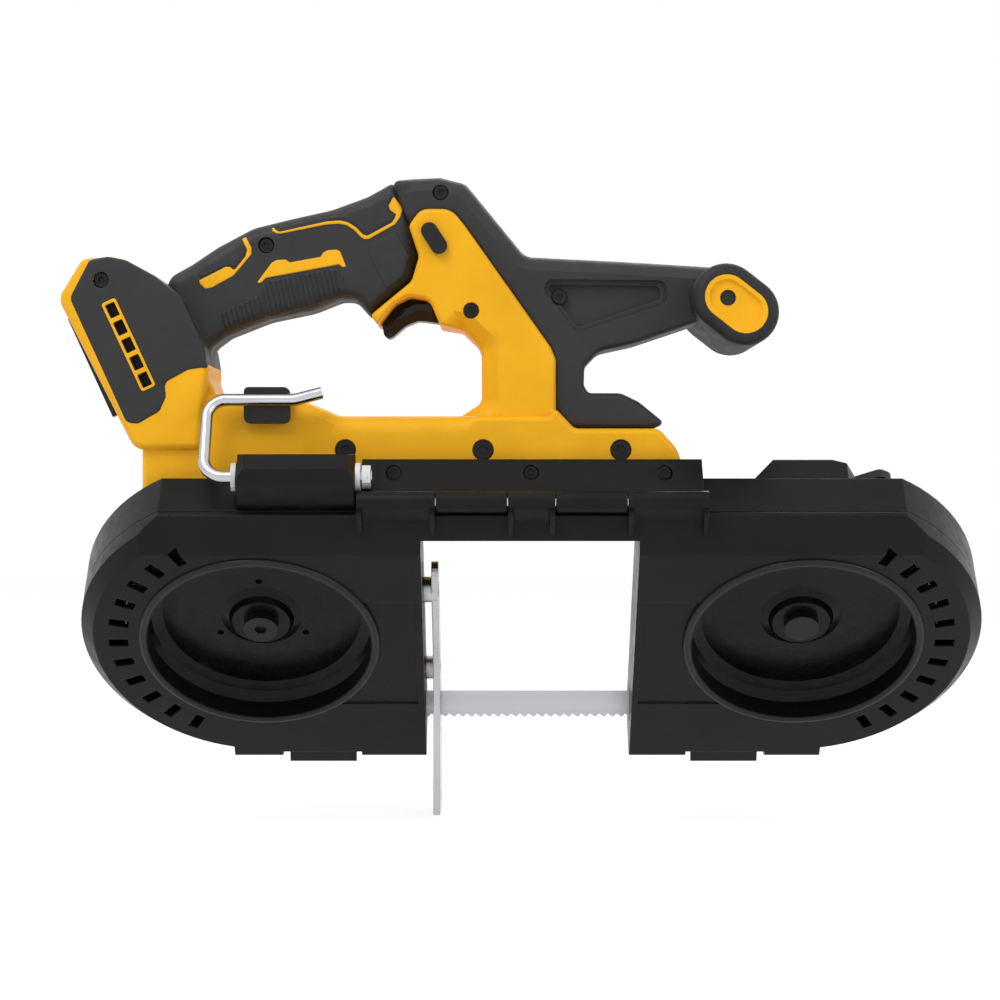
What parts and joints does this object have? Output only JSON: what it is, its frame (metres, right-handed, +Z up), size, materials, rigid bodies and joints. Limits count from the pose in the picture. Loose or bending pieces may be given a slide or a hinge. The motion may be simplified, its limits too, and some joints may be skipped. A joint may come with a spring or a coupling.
{
  "type": "portable band saw",
  "caption": "Cordless hand-held band saw: tilted wheel deck with a hinged cover, twisted blade across a square throat, trigger handle and front grip.",
  "frame": {"origin": "on the work stop's face, in the blade's plane, just under the blade slot", "axes": "+X along the cut strand away from the stop, +Y away from the hinge side, +Z up to the handle"},
  "size_m": [0.4222, 0.136, 0.3004],
  "materials": {
    "yellow_plastic": "fine spark texture",
    "grey_plastic": "textured overmould",
    "rubber": "soft matt",
    "black_plastic": "satin moulded",
    "white_plastic": "smooth",
    "wheel_paint": "gloss black",
    "cast_alloy": "cast",
    "copper": "enamelled windings",
    "black_steel": "black oxide",
    "bright_steel": "bright"
  },
  "bodies": {
    "saw": {"deck_frame": "black_plastic", "hinge_leaf": "black_plastic", "leaf_screws": "black_steel", "housing_front": "yellow_plastic", "housing_rear": "yellow_plastic", "grip_front": "grey_plastic", "grip_rear": "grey_plastic", "arm_front": "grey_plastic", "arm_rear": "grey_plastic", "housing_screws": "black_steel", "cross_grip": "rubber", "grip_caps": "yellow_plastic", "trigger_pin": "bright_steel", "switch_module": "black_plastic", "battery_terminal": "black_plastic", "hook_sleeve": "black_plastic", "hook_bushes": "white_plastic", "hook_rest": "rubber", "blade": "bright_steel", "gear_case": "cast_alloy", "motor_housing": "black_plastic", "motor_stator": "copper", "tension_housing": "black_plastic", "work_stop": "bright_steel", "stop_screws": "bright_steel", "guide_left": "bright_steel", "guide_right": "bright_steel"},
    "cover": {"wheel_cover": "black_plastic", "hinge_pin": "bright_steel", "latch_pins": "bright_steel"},
    "latch_left": {"latch_left": "black_plastic"},
    "latch_right": {"latch_right": "black_plastic"},
    "trigger": {"trigger": "black_plastic"},
    "lock_button": {"lock_button": "black_plastic"},
    "hook": {"hook_rod": "bright_steel", "hook_nut": "white_plastic"},
    "drive": {"drive_wheel": "wheel_paint", "drive_tyre": "rubber", "drive_shaft": "bright_steel", "drive_gear": "bright_steel"},
    "rotor": {"motor_rotor": "bright_steel"},
    "lever": {"tension_lever": "black_plastic"},
    "slider": {"idler_slider": "bright_steel", "idler_bearing": "bright_steel"},
    "idler": {"idler_wheel": "wheel_paint", "idler_tyre": "rubber"},
    "roller_left_front": {"roller_left_front": "bright_steel"},
    "roller_left_rear": {"roller_left_rear": "bright_steel"},
    "roller_right_front": {"roller_right_front": "bright_steel"},
    "roller_right_rear": {"roller_right_rear": "bright_steel"}
  },
  "joints": [
    {"name": "cover_hinge", "type": "hinge", "parent": "saw", "child": "cover", "pos_m": [0.04, -0.09977, 0.10729], "axis": [-1, 0, 0], "range_deg": [0, 110]},
    {"name": "latch_left_turn", "type": "hinge", "parent": "cover", "child": "latch_left", "pos_m": [-0.057, 0.00672, -0.0091], "axis": [-1, 0, 0], "range_deg": [0, 20], "stiffness_Nm_per_rad": 0.02},
    {"name": "latch_right_turn", "type": "hinge", "parent": "cover", "child": "latch_right", "pos_m": [0.1366, 0.00672, -0.0091], "axis": [-1, 0, 0], "range_deg": [0, 20], "stiffness_Nm_per_rad": 0.02},
    {"name": "trigger_pull", "type": "hinge", "parent": "saw", "child": "trigger", "pos_m": [0.004, -0.03999, 0.204], "axis": [0, 1, 0], "range_deg": [0, 10], "stiffness_Nm_per_rad": 0.5, "springref_deg": -5.73},
    {"name": "lock_slide", "type": "slide", "parent": "saw", "child": "lock_button", "axis": [0, 1, 0], "range_m": [-0.0025, 0.0025], "stiffness_N_per_m": 150},
    {"name": "hook_swing", "type": "hinge", "parent": "saw", "child": "hook", "pos_m": [-0.06, -0.09546, 0.11854], "axis": [1, 0, 0], "range_deg": [0, 110]},
    {"name": "drive_spin", "type": "hinge", "parent": "saw", "child": "drive", "pos_m": [-0.0823, -0.04419, 0.05454], "axis": [0, -0.7071, -0.7071], "continuous": true},
    {"name": "rotor_spin", "type": "hinge", "parent": "saw", "child": "rotor", "pos_m": [-0.0548, -0.01025, 0.10546], "axis": [0, -0.7071, -0.7071], "continuous": true},
    {"name": "tension_turn", "type": "hinge", "parent": "saw", "child": "lever", "pos_m": [0.158, -0.03854, 0.10263], "axis": [0, 0.7071, 0.7071], "range_deg": [0, 120]},
    {"name": "idler_slide", "type": "slide", "parent": "saw", "child": "slider", "axis": [-1, 0, 0], "range_m": [0, 0.006]},
    {"name": "idler_spin", "type": "hinge", "parent": "slider", "child": "idler", "pos_m": [0.168, -0.04419, 0.05454], "axis": [0, -0.7071, -0.7071], "continuous": true},
    {"name": "roller_left_front_spin", "type": "hinge", "parent": "saw", "child": "roller_left_front", "pos_m": [-0.018, -0.0056, 0.01], "axis": [0, 0, 1], "continuous": true},
    {"name": "roller_left_rear_spin", "type": "hinge", "parent": "saw", "child": "roller_left_rear", "pos_m": [-0.018, 0.0056, 0.01], "axis": [0, 0, 1], "continuous": true},
    {"name": "roller_right_front_spin", "type": "hinge", "parent": "saw", "child": "roller_right_front", "pos_m": [0.1015, -0.0056, 0.01], "axis": [0, 0, 1], "continuous": true},
    {"name": "roller_right_rear_spin", "type": "hinge", "parent": "saw", "child": "roller_right_rear", "pos_m": [0.1015, 0.0056, 0.01], "axis": [0, 0, 1], "continuous": true}
  ],
  "couplings": [
    {"joint": "rotor_spin", "follows": "drive_spin", "ratio": -4},
    {"joint": "idler_spin", "follows": "drive_spin", "ratio": 1},
    {"joint": "tension_turn", "follows": "idler_slide", "rad_per_m": 347},
    {"joint": "roller_left_front_spin", "follows": "drive_spin", "ratio": -12.5},
    {"joint": "roller_right_front_spin", "follows": "drive_spin", "ratio": -12.5},
    {"joint": "roller_left_rear_spin", "follows": "drive_spin", "ratio": 12.5},
    {"joint": "roller_right_rear_spin", "follows": "drive_spin", "ratio": 12.5}
  ]
}
